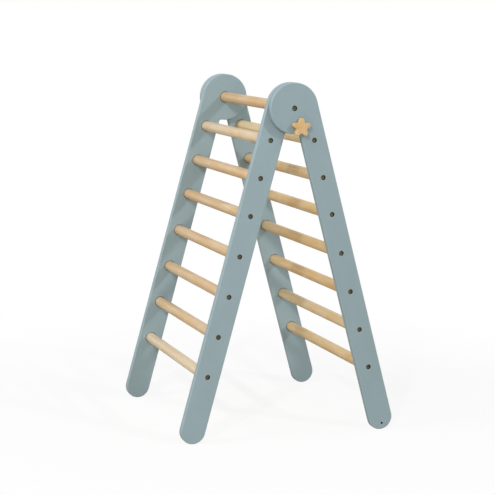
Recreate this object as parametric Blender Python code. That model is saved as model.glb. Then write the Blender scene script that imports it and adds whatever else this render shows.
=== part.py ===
"""Folding climbing frame for toddlers.

Two ladders of wooden rungs between painted boards lean against each other.
The boards of the inner ladder stand inside those of the outer one, and both
turn on the bolts of the top rung. A star-shaped knob clamps the two near heads
together through an arc-shaped slot, whose ends are the stops of the fold.

Each ladder has its own frame: the origin is on the pivot axis, -Z runs down
the rails and Y runs along the rungs. The outer ladder's rails lie on +X of it
and the inner ladder's on -X.
"""

import math

import bmesh
import bpy

# The whole frame
FRAME_WIDTH = 0.634
LADDER_LEAN = math.radians(15.33)
HEAD_GAP = 0.0055
FIT = 0.0003
CUT_OVERRUN = 0.002

# Boards: a round head on the pivot and a straight rail with a round foot
BOARD_THICKNESS = 0.018
RAIL_WIDTH = 0.075
HEAD_RADIUS = 0.0735
HEAD_FILLET = 0.008
BOARD_EDGE_ROUND = 0.0025
HEAD_STEPS = 30
FILLET_STEPS = 4
FOOT_STEPS = 16
BOARD_EDGE_STEPS = 2

# Rungs: closer together near the top than below
RUNG_RADIUS = 0.016
FIRST_RUNG_DISTANCE = 0.1055
UPPER_SPACING = 0.1125
LOWER_SPACING = 0.120
UPPER_STEPS = 2
LOWER_STEPS = 4
LAST_RUNG_TO_FOOT = 0.201
SOCKET_DEPTH = 0.006
RUNG_SEGMENTS = 20

# Screws that hold the rungs
SCREW_HEAD_RADIUS = 0.006
SCREW_HEAD_HEIGHT = 0.0035
SCREW_SHANK_RADIUS = 0.003
SCREW_KEY_WIDTH = 0.004
SCREW_KEY_DEPTH = 0.002
SCREW_IN_RUNG = 0.030
SCREW_SINK = 0.004
SCREW_HEAD_PLAY = 0.0014
SCREW_SEGMENTS = 12
HOLE_SEGMENTS = 10
KEY_SIDES = 6

# Pivot bolts through both heads into the top rung, and the washers between
PIVOT_HEAD_RADIUS = 0.0065
PIVOT_HEAD_HEIGHT = 0.0045
PIVOT_SHANK_RADIUS = 0.004
PIVOT_KEY_WIDTH = 0.005
PIVOT_KEY_DEPTH = 0.003
PIVOT_IN_RUNG = 0.045
PIVOT_WASHER_RADIUS = 0.017
PIVOT_WASHER_SEGMENTS = 16

# Lock bolt: a carriage bolt whose square neck slides in the slot
LOCK_DISTANCE = 0.0566
LOCK_OFFSET = 0.0019
LOCK_SHANK_RADIUS = 0.004
LOCK_NECK_WIDTH = 0.0085
LOCK_NECK_LENGTH = 0.006
LOCK_HEAD_RADIUS = 0.010
LOCK_HEAD_HEIGHT = 0.0045
LOCK_HEAD_RIM = 0.001
LOCK_IN_KNOB = 0.011
LOCK_SPACER_RADIUS = 0.012
LOCK_SEGMENTS = 16
NECK_SIDES = 4
SLOT_PLAY = 0.0005
SLOT_STEPS = 12
SLOT_END_STEPS = 8
DOME_STEPS = 4

# Star knob, its brass insert and the washer behind it
STAR_POINTS = 5
STAR_TIP_RADIUS = 0.0483
STAR_VALLEY_RADIUS = 0.0157
STAR_TIP_ROUND = 0.007
STAR_VALLEY_ROUND = 0.004
STAR_THICKNESS = 0.016
STAR_EDGE_ROUND = 0.002
STAR_CORNER_STEPS = 4
STAR_EDGE_STEPS = 2
STAR_TILT = math.radians(1.0)
INSERT_RADIUS = 0.006
INSERT_LENGTH = 0.0125
INSERT_FLANGE_RADIUS = 0.0085
INSERT_FLANGE_HEIGHT = 0.0015
KNOB_WASHER_RADIUS = 0.011
KNOB_WASHER_HEIGHT = 0.0016
KNOB_SEGMENTS = 16

# Small blind hole near the foot of the near outer board
FOOT_HOLE_RADIUS = 0.0035
FOOT_HOLE_DEPTH = 0.010
FOOT_HOLE_TO_END = 0.018
FOOT_HOLE_SEGMENTS = 12

# Places that follow from the sizes above
NEAR = 1
FAR = -1
OUTER = 1
INNER = -1
RAIL_CENTRE = HEAD_RADIUS - RAIL_WIDTH / 2
RAIL_INNER_EDGE = HEAD_RADIUS - RAIL_WIDTH
FOOT_RADIUS = RAIL_WIDTH / 2
LAST_RUNG_DISTANCE = FIRST_RUNG_DISTANCE + UPPER_STEPS * UPPER_SPACING + LOWER_STEPS * LOWER_SPACING
FOOT_END = LAST_RUNG_DISTANCE + LAST_RUNG_TO_FOOT
FOOT_CENTRE = FOOT_END - FOOT_RADIUS
PIVOT_HEIGHT = (FOOT_CENTRE * math.cos(LADDER_LEAN) - RAIL_CENTRE * math.sin(LADDER_LEAN)
                + FOOT_RADIUS)
OUTER_FACE = FRAME_WIDTH / 2
INNER_FACE = OUTER_FACE - BOARD_THICKNESS - HEAD_GAP
KNOB_BACK = KNOB_WASHER_HEIGHT + 2 * FIT
KNOB_REACH = KNOB_BACK + STAR_THICKNESS
LOCK_RADIUS = math.hypot(LOCK_DISTANCE, LOCK_OFFSET)
LOCK_ANGLE = math.atan2(LOCK_OFFSET, LOCK_DISTANCE)
SOCKET_WEB = BOARD_THICKNESS - SOCKET_DEPTH
SCREW_SEAT = SCREW_SINK + SCREW_HEAD_HEIGHT + FIT
PIVOT_SEAT = SCREW_SINK + PIVOT_HEAD_HEIGHT + FIT
SMOOTH_ANGLE = math.radians(35)
EDGE_ANGLE = math.radians(60)


def clear_scene():
    """Remove every object that the start-up scene holds."""
    for item in list(bpy.data.objects):
        bpy.data.objects.remove(item)


def make_material(name, colour, roughness, metallic):
    """One Principled material in a plain colour."""
    material = bpy.data.materials.new(name)
    material.use_nodes = True
    shader = material.node_tree.nodes["Principled BSDF"]
    shader.inputs["Base Color"].default_value = (*colour, 1)
    shader.inputs["Roughness"].default_value = roughness
    shader.inputs["Metallic"].default_value = metallic
    return material


def make_empty(name, location, turn, parent=None):
    """An empty turned about Y, which carries the pieces of one moving body."""
    empty = bpy.data.objects.new(name, None)
    bpy.context.collection.objects.link(empty)
    empty.parent = parent
    empty.location = location
    empty.rotation_euler = (0, turn, 0)
    return empty


def make_object(name, bm, material, parent, location, rotation=(0, 0, 0)):
    """Turn a closed bmesh into a smooth-shaded object under its parent."""
    bmesh.ops.recalc_face_normals(bm, faces=bm.faces)
    mesh = bpy.data.meshes.new(name)
    bm.to_mesh(mesh)
    bm.free()
    mesh.shade_smooth()
    mesh.set_sharp_from_angle(angle=SMOOTH_ANGLE)
    if material is not None:
        mesh.materials.append(material)
    item = bpy.data.objects.new(name, mesh)
    bpy.context.collection.objects.link(item)
    item.parent = parent
    item.location = location
    item.rotation_euler = rotation
    return item


def cut(item, name, bm):
    """Subtract a closed bmesh, given in the item's own frame, from the item."""
    cutter = make_object(name, bm, None, item.parent, item.location, item.rotation_euler)
    cutter.hide_render = True
    cutter.display_type = "WIRE"
    boolean = item.modifiers.new(name, "BOOLEAN")
    boolean.operation = "DIFFERENCE"
    boolean.solver = "EXACT"
    boolean.object = cutter


def round_edges(item, width, steps):
    """Round the sharp edges of an extruded outline."""
    bevel = item.modifiers.new("edge round", "BEVEL")
    bevel.width = width
    bevel.segments = steps
    bevel.limit_method = "ANGLE"
    bevel.angle_limit = EDGE_ANGLE


def make_ring(bm, centre, radius, y, sides, turn):
    """A ring of vertices across a line along Y, the first one at the angle turn."""
    ring = []
    for step in range(sides):
        angle = turn + math.tau * step / sides
        ring.append(bm.verts.new((centre[0] + radius * math.cos(angle), centre[1] + y,
                                  centre[2] + radius * math.sin(angle))))
    return ring


def bridge(bm, few, many):
    """Faces between two rings, of which the second has as many or more vertices."""
    share = len(many) // len(few)
    for step, corner in enumerate(few):
        span = [many[(step * share + extra) % len(many)] for extra in range(share + 1)]
        bm.faces.new([few[(step + 1) % len(few)], corner] + span)


def lathe(bm, centre, profile, turn=0, closed=False):
    """Turn a profile of (radius, y, sides) about a line along Y.

    The number of sides makes a ring round or a square or hexagon. A closed
    profile joins its last ring to its first, as in a washer, and an open one
    is capped at both ends.
    """
    rings = [make_ring(bm, centre, radius, y, sides, turn) for radius, y, sides in profile]
    pairs = list(zip(rings, rings[1:]))
    if closed:
        pairs.append((rings[-1], rings[0]))
    else:
        bm.faces.new(rings[0])
        bm.faces.new(rings[-1])
    for pair in pairs:
        bridge(bm, *sorted(pair, key=len))


def corner_radius(width, sides):
    """Distance from the centre to the corners of a polygon of that width over its flats."""
    return width / 2 / math.cos(math.pi / sides)


def cylinder(bm, centre, radius, start, end, segments):
    """A plain cylinder along Y between two distances from its centre."""
    lathe(bm, centre, [(radius, start, segments), (radius, end, segments)])


def washer_mesh(hole, radius, start, end, segments):
    """A flat ring along Y between two distances from its centre."""
    bm = bmesh.new()
    profile = [(hole, start, segments), (radius, start, segments), (radius, end, segments),
               (hole, end, segments)]
    lathe(bm, (0, 0, 0), profile, closed=True)
    return bm


def arc(centre, radius, start, end, steps):
    """Points (x, z) on an arc from one angle to another, both ends included."""
    points = []
    for step in range(steps + 1):
        angle = start + (end - start) * step / steps
        points.append((centre[0] + radius * math.cos(angle), centre[1] + radius * math.sin(angle)))
    return points


def extrude_outline(bm, outline, start, end):
    """Extrude a closed outline of (x, z) points along Y."""
    face = bm.faces.new([bm.verts.new((x, start, z)) for x, z in outline])
    grown = bmesh.ops.extrude_face_region(bm, geom=[face], use_keep_orig=True)
    moved = [part for part in grown["geom"] if isinstance(part, bmesh.types.BMVert)]
    bmesh.ops.translate(bm, verts=moved, vec=(0, end - start, 0))


def board_outline():
    """Keyhole outline of a board whose rail lies on +X of the pivot.

    The outer edge leaves the head at its tangent. The inner edge meets the
    head in a small concave fillet. The foot is a full half circle.
    """
    fillet_x = RAIL_INNER_EDGE - HEAD_FILLET
    fillet_z = -math.sqrt((HEAD_RADIUS + HEAD_FILLET) ** 2 - fillet_x ** 2)
    to_head = math.atan2(-fillet_z, -fillet_x)
    foot = arc((RAIL_CENTRE, -FOOT_CENTRE), FOOT_RADIUS, 0, -math.pi, FOOT_STEPS)
    fillet = arc((fillet_x, fillet_z), HEAD_FILLET, 0, to_head, FILLET_STEPS)
    head_start = to_head + math.pi
    head = arc((0, 0), HEAD_RADIUS, head_start, 0, HEAD_STEPS)
    return foot + fillet + head[1:]


def rung_distances():
    """Distances of the rungs from the pivot axis, along the rail."""
    distances = [FIRST_RUNG_DISTANCE]
    for spacing, steps in ((UPPER_SPACING, UPPER_STEPS), (LOWER_SPACING, LOWER_STEPS)):
        for _ in range(steps):
            distances.append(distances[-1] + spacing)
    return distances


def slot_outline(start, end):
    """Outline of the lock bolt's slot, an arc round the pivot between two angles.

    The square neck of the bolt needs each rounded end to lie a little past
    the bolt's own place at that end of the fold.
    """
    neck = LOCK_NECK_WIDTH / 2
    half_width = neck + SLOT_PLAY
    end_run = neck - math.sqrt((half_width - FIT) ** 2 - neck ** 2)
    first = start - end_run / LOCK_RADIUS
    last = end + end_run / LOCK_RADIUS
    end_centre = (LOCK_RADIUS * math.cos(last), LOCK_RADIUS * math.sin(last))
    start_centre = (LOCK_RADIUS * math.cos(first), LOCK_RADIUS * math.sin(first))
    outline = arc((0, 0), LOCK_RADIUS + half_width, first, last, SLOT_STEPS)
    outline += arc(end_centre, half_width, last, last + math.pi, SLOT_END_STEPS)[1:-1]
    outline += arc((0, 0), LOCK_RADIUS - half_width, last, first, SLOT_STEPS)
    outline += arc(start_centre, half_width, first + math.pi, first + math.tau, SLOT_END_STEPS)[1:-1]
    return outline


def stepped_hole(bm, place, side, steps):
    """Cutter for round holes one behind the other, from the outer face inwards.

    Each step is (radius, sides, depth of its end).
    """
    profile = []
    start = -CUT_OVERRUN
    for radius, sides, end in steps:
        profile += [(radius, side * start, sides), (radius, side * end, sides)]
        start = end
    lathe(bm, place, profile)


def board_holes(ladder, side):
    """Cutters for a board's rung sockets and screw holes, and its hole at the pivot."""
    through = BOARD_THICKNESS + CUT_OVERRUN
    socket = (RUNG_RADIUS + FIT, RUNG_SEGMENTS, through)
    holes = bmesh.new()
    for distance in rung_distances():
        stepped_hole(holes, (ladder * RAIL_CENTRE, 0, -distance), side,
                     [(SCREW_HEAD_RADIUS + SCREW_HEAD_PLAY, HOLE_SEGMENTS, SCREW_SEAT),
                      (SCREW_SHANK_RADIUS + FIT, HOLE_SEGMENTS, SOCKET_WEB), socket])
    if ladder == OUTER:
        pivot_steps = [(PIVOT_HEAD_RADIUS + SCREW_HEAD_PLAY, HOLE_SEGMENTS, PIVOT_SEAT),
                       (PIVOT_SHANK_RADIUS + FIT, HOLE_SEGMENTS, through)]
    else:
        pivot_steps = [(PIVOT_SHANK_RADIUS + FIT, HOLE_SEGMENTS, SOCKET_WEB), socket]
    stepped_hole(holes, (0, 0, 0), side, pivot_steps)
    return holes


def add_lock_hole(holes):
    """Round hole for the lock bolt in the near outer head."""
    cylinder(holes, (LOCK_OFFSET, 0, -LOCK_DISTANCE), LOCK_SHANK_RADIUS + FIT, -CUT_OVERRUN,
             BOARD_THICKNESS + CUT_OVERRUN, LOCK_SEGMENTS)


def add_foot_hole(holes):
    """Small blind hole on the centre line of the near outer foot."""
    cylinder(holes, (RAIL_CENTRE, 0, FOOT_HOLE_TO_END - FOOT_END), FOOT_HOLE_RADIUS,
             -CUT_OVERRUN, FOOT_HOLE_DEPTH, FOOT_HOLE_SEGMENTS)


def add_lock_slot(holes):
    """Arc slot in the near inner head, from the bolt's place when open to folded flat."""
    folded = LOCK_ANGLE - math.pi / 2
    extrude_outline(holes, slot_outline(folded, folded + 2 * LADDER_LEAN), -CUT_OVERRUN,
                    BOARD_THICKNESS + CUT_OVERRUN)


def make_board(name, ladder, side, holes, parent, material):
    """One board less its holes, with its outer face on y = 0 of its own frame."""
    bm = bmesh.new()
    outline = [(ladder * x, z) for x, z in board_outline()]
    extrude_outline(bm, outline, 0, side * BOARD_THICKNESS)
    face = OUTER_FACE if ladder == OUTER else INNER_FACE
    board = make_object(name, bm, material, parent, (0, -side * face, 0))
    round_edges(board, BOARD_EDGE_ROUND, BOARD_EDGE_STEPS)
    cut(board, name + "_holes", holes)


def make_boards(outer_parent, inner_parent, material):
    """The four boards, with the lock bolt's hole and slot in the near heads."""
    outer_near_holes = board_holes(OUTER, NEAR)
    add_lock_hole(outer_near_holes)
    add_foot_hole(outer_near_holes)
    inner_near_holes = board_holes(INNER, NEAR)
    add_lock_slot(inner_near_holes)
    make_board("outer_board_near", OUTER, NEAR, outer_near_holes, outer_parent, material)
    make_board("outer_board_far", OUTER, FAR, board_holes(OUTER, FAR), outer_parent, material)
    make_board("inner_board_near", INNER, NEAR, inner_near_holes, inner_parent, material)
    make_board("inner_board_far", INNER, FAR, board_holes(INNER, FAR), inner_parent, material)


def make_rung(name, parent, face, place, material, shank_radius, shank_depth):
    """One rung between the sockets of two boards, bored for its screws."""
    half = face - BOARD_THICKNESS + SOCKET_DEPTH - FIT
    bm = bmesh.new()
    cylinder(bm, (0, 0, 0), RUNG_RADIUS, -half, half, RUNG_SEGMENTS)
    rung = make_object(name, bm, material, parent, (place[0], 0, place[1]))
    holes = bmesh.new()
    for end in (-1, 1):
        cylinder(holes, (0, 0, 0), shank_radius + FIT, end * (half - shank_depth - FIT),
                 end * (half + CUT_OVERRUN), HOLE_SEGMENTS)
    cut(rung, name + "_holes", holes)


def make_rungs(outer_parent, inner_parent, material):
    """Seven rungs in each ladder and the top rung on the pivot axis."""
    for label, ladder, parent, face in (("outer", OUTER, outer_parent, OUTER_FACE),
                                        ("inner", INNER, inner_parent, INNER_FACE)):
        for number, distance in enumerate(rung_distances(), start=1):
            make_rung(f"{label}_rung_{number}", parent, face, (ladder * RAIL_CENTRE, -distance),
                      material, SCREW_SHANK_RADIUS, SCREW_IN_RUNG)
    make_rung("top_rung", inner_parent, INNER_FACE, (0, 0), material, PIVOT_SHANK_RADIUS,
              PIVOT_IN_RUNG)


def bolt_mesh(head_radius, head_height, shank_radius, key_width, key_depth, length):
    """A flat-headed bolt with a hexagonal key socket, head top on y = 0."""
    bm = bmesh.new()
    key = corner_radius(key_width, KEY_SIDES)
    profile = [(key, key_depth, KEY_SIDES), (key, 0, KEY_SIDES),
               (head_radius, 0, SCREW_SEGMENTS), (head_radius, head_height, SCREW_SEGMENTS),
               (shank_radius, head_height, SCREW_SEGMENTS),
               (shank_radius, length, SCREW_SEGMENTS)]
    lathe(bm, (0, 0, 0), profile)
    return bm


def make_bolts(name, parent, face, place, mesh_sizes, length, material):
    """A pair of bolts on one line, one through each board."""
    for label, side, turn in (("near", NEAR, 0), ("far", FAR, math.pi)):
        bm = bolt_mesh(*mesh_sizes, length)
        make_object(f"{name}_{label}", bm, material, parent,
                    (place[0], side * (SCREW_SINK - face), place[1]), (0, 0, turn))


def make_screws(outer_parent, inner_parent, material):
    """A screw in each end of every rung, and the two pivot bolts."""
    sizes = (SCREW_HEAD_RADIUS, SCREW_HEAD_HEIGHT, SCREW_SHANK_RADIUS, SCREW_KEY_WIDTH,
             SCREW_KEY_DEPTH)
    length = SOCKET_WEB - SCREW_SINK + SCREW_IN_RUNG
    for label, ladder, parent, face in (("outer", OUTER, outer_parent, OUTER_FACE),
                                        ("inner", INNER, inner_parent, INNER_FACE)):
        for number, distance in enumerate(rung_distances(), start=1):
            make_bolts(f"{label}_screw_{number}", parent, face,
                       (ladder * RAIL_CENTRE, -distance), sizes, length, material)
    pivot_sizes = (PIVOT_HEAD_RADIUS, PIVOT_HEAD_HEIGHT, PIVOT_SHANK_RADIUS, PIVOT_KEY_WIDTH,
                   PIVOT_KEY_DEPTH)
    pivot_length = OUTER_FACE - INNER_FACE + SOCKET_WEB - SCREW_SINK + PIVOT_IN_RUNG
    make_bolts("pivot_bolt", inner_parent, OUTER_FACE, (0, 0), pivot_sizes, pivot_length, material)


def make_pivot_washers(parent, material):
    """A washer between the outer and the inner head on each side."""
    for label, side in (("near", NEAR), ("far", FAR)):
        bm = washer_mesh(PIVOT_SHANK_RADIUS + FIT, PIVOT_WASHER_RADIUS, side * FIT,
                         side * (HEAD_GAP - FIT), PIVOT_WASHER_SEGMENTS)
        make_object(f"pivot_washer_{label}", bm, material, parent,
                    (0, side * (BOARD_THICKNESS - OUTER_FACE), 0))


def make_lock_bolt(parent, material):
    """Carriage bolt from inside the near inner head out into the knob.

    Its y = 0 is the outer face of the outer board. The square neck is turned
    to stand square to the slot.
    """
    bm = bmesh.new()
    seat = OUTER_FACE - INNER_FACE + BOARD_THICKNESS + FIT
    tip = -(KNOB_BACK + LOCK_IN_KNOB)
    neck_end = seat - LOCK_NECK_LENGTH
    neck = corner_radius(LOCK_NECK_WIDTH, NECK_SIDES)
    profile = [(LOCK_SHANK_RADIUS, tip, LOCK_SEGMENTS),
               (LOCK_SHANK_RADIUS, neck_end, LOCK_SEGMENTS), (neck, neck_end, NECK_SIDES),
               (neck, seat, NECK_SIDES), (LOCK_HEAD_RADIUS, seat, LOCK_SEGMENTS)]
    for step in range(DOME_STEPS):
        rise = math.pi / 2 * step / DOME_STEPS
        height = LOCK_HEAD_RIM + (LOCK_HEAD_HEIGHT - LOCK_HEAD_RIM) * math.sin(rise)
        profile.append((LOCK_HEAD_RADIUS * math.cos(rise), seat + height, LOCK_SEGMENTS))
    lathe(bm, (0, 0, 0), profile, turn=math.pi / NECK_SIDES)
    make_object("lock_bolt", bm, material, parent, (0, 0, 0), (0, -LOCK_ANGLE, 0))


def make_lock_spacer(parent, material):
    """Ring on the lock bolt that fills the gap between the two near heads."""
    bm = washer_mesh(LOCK_SHANK_RADIUS + FIT, LOCK_SPACER_RADIUS, FIT, HEAD_GAP - FIT,
                     KNOB_SEGMENTS)
    make_object("lock_spacer", bm, material, parent, (0, BOARD_THICKNESS, 0))


def star_outline():
    """Star with rounded tips and valleys, one tip straight up.

    Each corner of the sharp star is replaced by an arc that touches both of
    its edges.
    """
    corners = []
    for step in range(2 * STAR_POINTS):
        angle = math.pi / 2 + math.pi * step / STAR_POINTS
        reach = STAR_TIP_RADIUS if step % 2 == 0 else STAR_VALLEY_RADIUS
        corners.append((reach * math.cos(angle), reach * math.sin(angle)))
    outline = []
    for step, (x, z) in enumerate(corners):
        before = corners[step - 1]
        after = corners[(step + 1) % len(corners)]
        to_before = math.atan2(before[1] - z, before[0] - x)
        to_after = math.atan2(after[1] - z, after[0] - x)
        opening = (to_after - to_before + math.pi) % math.tau - math.pi
        radius = STAR_TIP_ROUND if step % 2 == 0 else STAR_VALLEY_ROUND
        middle = to_before + opening / 2
        run = radius / abs(math.sin(opening / 2))
        centre = (x + run * math.cos(middle), z + run * math.sin(middle))
        half_sweep = math.copysign(math.pi / 2 - abs(opening) / 2, opening)
        outline += arc(centre, radius, middle + math.pi + half_sweep,
                       middle + math.pi - half_sweep, STAR_CORNER_STEPS)
    return outline


def make_star(parent, material):
    """Star knob with a blind stepped hole for the insert in its back."""
    bm = bmesh.new()
    extrude_outline(bm, star_outline(), -KNOB_REACH, -KNOB_BACK)
    star = make_object("star_knob", bm, material, parent, (0, 0, 0))
    round_edges(star, STAR_EDGE_ROUND, STAR_EDGE_STEPS)
    hole = bmesh.new()
    flange_end = -(KNOB_BACK + FIT + INSERT_FLANGE_HEIGHT + FIT)
    hole_end = -(KNOB_BACK + FIT + INSERT_LENGTH + FIT)
    profile = [(INSERT_FLANGE_RADIUS + FIT, CUT_OVERRUN - KNOB_BACK, KNOB_SEGMENTS),
               (INSERT_FLANGE_RADIUS + FIT, flange_end, KNOB_SEGMENTS),
               (INSERT_RADIUS + FIT, flange_end, KNOB_SEGMENTS),
               (INSERT_RADIUS + FIT, hole_end, KNOB_SEGMENTS)]
    lathe(hole, (0, 0, 0), profile)
    cut(star, "star_knob_hole", hole)


def make_insert(parent, material):
    """Flanged sleeve in the back of the star that takes the lock bolt."""
    bm = bmesh.new()
    start = -(KNOB_BACK + FIT)
    hole = LOCK_SHANK_RADIUS + FIT
    profile = [(hole, start, KNOB_SEGMENTS), (INSERT_FLANGE_RADIUS, start, KNOB_SEGMENTS),
               (INSERT_FLANGE_RADIUS, start - INSERT_FLANGE_HEIGHT, KNOB_SEGMENTS),
               (INSERT_RADIUS, start - INSERT_FLANGE_HEIGHT, KNOB_SEGMENTS),
               (INSERT_RADIUS, start - INSERT_LENGTH, KNOB_SEGMENTS),
               (hole, start - INSERT_LENGTH, KNOB_SEGMENTS)]
    lathe(bm, (0, 0, 0), profile, closed=True)
    make_object("knob_insert", bm, material, parent, (0, 0, 0))


def make_knob_washer(parent, material):
    """Flat washer between the star and the outer head."""
    bm = washer_mesh(LOCK_SHANK_RADIUS + FIT, KNOB_WASHER_RADIUS, -FIT,
                     -(FIT + KNOB_WASHER_HEIGHT), KNOB_SEGMENTS)
    make_object("knob_washer", bm, material, parent, (0, 0, 0))


def build():
    """Build the climbing frame with its feet on z = 0."""
    clear_scene()
    paint = make_material("blue_grey_paint", (0.27, 0.36, 0.39), 0.45, 0)
    wood = make_material("rung_wood", (0.62, 0.45, 0.27), 0.5, 0)
    star_wood = make_material("star_wood", (0.66, 0.42, 0.22), 0.5, 0)
    bronze = make_material("bronze_screws", (0.14, 0.12, 0.07), 0.4, 1)
    nylon = make_material("nylon_washers", (0.6, 0.6, 0.58), 0.5, 0)
    steel = make_material("zinc_steel", (0.55, 0.56, 0.57), 0.35, 1)
    brass = make_material("brass_insert", (0.6, 0.45, 0.18), 0.35, 1)

    pivot = (0, KNOB_REACH / 2, PIVOT_HEIGHT)
    outer_ladder = make_empty("outer_ladder", pivot, -LADDER_LEAN)
    inner_ladder = make_empty("inner_ladder", pivot, LADDER_LEAN)
    knob_axis = make_empty("knob_axis", (LOCK_OFFSET, -OUTER_FACE, -LOCK_DISTANCE), 0,
                           outer_ladder)
    star_axis = make_empty("star_axis", (0, 0, 0), LADDER_LEAN + STAR_TILT, knob_axis)

    make_boards(outer_ladder, inner_ladder, paint)
    make_rungs(outer_ladder, inner_ladder, wood)
    make_screws(outer_ladder, inner_ladder, bronze)
    make_pivot_washers(outer_ladder, nylon)
    make_lock_bolt(knob_axis, steel)
    make_lock_spacer(knob_axis, nylon)
    make_star(star_axis, star_wood)
    make_insert(star_axis, brass)
    make_knob_washer(knob_axis, steel)


build()
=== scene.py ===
"""Finish of the toddler climbing frame.

Smooth boards, turned rungs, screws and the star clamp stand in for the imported
solids, each on the body that carries it. Lengths are in metres. X runs from
the inner ladder's feet to the outer ladder's, Y along the rungs and Z up.

A board, rung or knob is worked out in its own frame first: Y runs along the
rungs and Z up the board. place_piece then turns it about Y and moves it to
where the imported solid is. Every point keeps its own-frame place as the
attribute pattern_place, which grain and brush marks follow.
"""

import math

import bmesh
import bpy
import numpy as np
from bpy.props import FloatProperty, FloatVectorProperty, PointerProperty
from mathutils import Matrix, Vector
from mathutils.geometry import delaunay_2d_cdt


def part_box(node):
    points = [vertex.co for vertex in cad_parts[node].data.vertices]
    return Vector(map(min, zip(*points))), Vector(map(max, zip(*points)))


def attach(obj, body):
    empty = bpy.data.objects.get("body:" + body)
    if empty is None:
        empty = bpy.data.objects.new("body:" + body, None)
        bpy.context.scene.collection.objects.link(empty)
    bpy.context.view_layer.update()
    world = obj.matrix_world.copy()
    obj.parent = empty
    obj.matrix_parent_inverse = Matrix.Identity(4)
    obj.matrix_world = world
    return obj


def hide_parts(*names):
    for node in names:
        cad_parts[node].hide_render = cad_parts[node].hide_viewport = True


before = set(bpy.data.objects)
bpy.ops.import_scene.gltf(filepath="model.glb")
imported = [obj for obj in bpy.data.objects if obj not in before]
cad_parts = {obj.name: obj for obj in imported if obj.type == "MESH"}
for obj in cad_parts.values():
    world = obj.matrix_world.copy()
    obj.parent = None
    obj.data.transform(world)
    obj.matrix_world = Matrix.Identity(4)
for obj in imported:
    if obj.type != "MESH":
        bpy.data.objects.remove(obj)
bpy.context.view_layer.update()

bl_info = {
    "name": "Climbing Frame Finish",
    "version": (1, 0, 0),
    "blender": (4, 5, 0),
    "location": "3D View > Sidebar > Climbing Frame",
    "description": "Boards, rungs, screws and star clamp of a folding climbing frame",
    "category": "Object",
}


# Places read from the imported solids

def low(node):
    """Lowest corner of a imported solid."""
    return np.array(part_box(node)[0])


def high(node):
    """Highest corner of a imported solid."""
    return np.array(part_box(node)[1])


def middle(node):
    """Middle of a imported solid's box, which for a round piece is on its axis."""
    return (low(node) + high(node)) / 2


def y_ends(node):
    """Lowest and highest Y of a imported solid."""
    return float(low(node)[1]), float(high(node)[1])


RUNG_COUNT = 7
PIVOT = middle("top_rung")
FIRST_RUNG = middle("outer_rung_1") - PIVOT
LAST_RUNG = middle(f"outer_rung_{RUNG_COUNT}") - PIVOT
LEAN = math.atan2(LAST_RUNG[0] - FIRST_RUNG[0], FIRST_RUNG[2] - LAST_RUNG[2])
KNOB = middle("knob_washer")
THICKNESS = float(high("outer_board_near")[1] - low("outer_board_near")[1])
OUTER_FACE = float(PIVOT[1] - low("outer_board_near")[1])
INNER_FACE = float(PIVOT[1] - low("inner_board_near")[1])
KNOB_FRONT = float(PIVOT[1] - OUTER_FACE - low("star_knob")[1])
KNOB_BACK = float(PIVOT[1] - OUTER_FACE - high("star_knob")[1])

# Each ladder: the side that its rails lean to, its turn about Y, the distance
# from the middle of the rungs to its outer faces, and its body
OUTER = {"name": "outer", "side": 1, "turn": -LEAN, "face": OUTER_FACE, "body": "outer_ladder"}
INNER = {"name": "inner", "side": -1, "turn": LEAN, "face": INNER_FACE, "body": "inner_ladder"}
ENDS = (("near", 1), ("far", -1))
NUMBERED = [(ladder, number) for ladder in (OUTER, INNER) for number in range(1, RUNG_COUNT + 1)]

# How deep the wood of each rung is: outer ladder and inner ladder from the head down, then the top
# rung. Beside the wood's own tone, some rungs are paler as painted light where they lie in shade,
# such as the outer ladder's upper rungs
RUNG_TONE_AND_LIGHT = (-0.25, -0.15, 0.00, 0.12, 0.16, -0.15, 0.00,
              -0.30, 0.10, 0.12, 0.08, 0.02, 0.04, -0.42, 0.20)
RUNG_SEED = 7
SCREW_SEED = 11

# Where in the log a rung is cut: from its middle, along it and up
LOG_SPANS = ((0.012, 0.045), (-3, 3), (-0.01, 0.01))

# How much paler (or, below 0, darker) the paint of each board is. The near outer board's darker
# paint is its own; the far outer board is paler as painted light, for light that it lacks
BOARD_TONE_AND_LIGHT = {"outer_board_near": -0.25, "outer_board_far": 0.50,
               "inner_board_near": 0.0, "inner_board_far": 0.0}


# Curves in the plane of a board

def arc_run(centre, radius, start, end, steps, hollow=False):
    """Points centre + radius * (cos a, sin a) for angles a from start to end.

    The normal at each point is (cos a, sin a), and its opposite where the
    wood is outside the arc.
    """
    angle = np.linspace(start, end, steps + 1)
    outward = np.stack([np.cos(angle), np.sin(angle)], axis=1)
    return np.asarray(centre) + radius * outward, -outward if hollow else outward


def straight_run(start, end, steps, left=True):
    """Evenly spaced points between two ends, without the ends.

    The normal is the unit direction of the line turned a quarter turn left or right.
    """
    share = np.arange(1, steps)[:, None] / steps
    points = start + (end - start) * share
    along = (end - start) / np.linalg.norm(end - start)
    side = 1 if left else -1
    normal = np.array([-along[1], along[0]]) * side
    return points, np.broadcast_to(normal, points.shape)


def close_loop(runs):
    """One closed loop of points and normals out of several runs."""
    return np.concatenate([run[0] for run in runs]), np.concatenate([run[1] for run in runs])


def turn_plane(points, angle):
    """Points (x, z) turned by an angle from X towards Z."""
    cos, sin = math.cos(angle), math.sin(angle)
    return points @ np.array([[cos, sin], [-sin, cos]])


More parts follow.
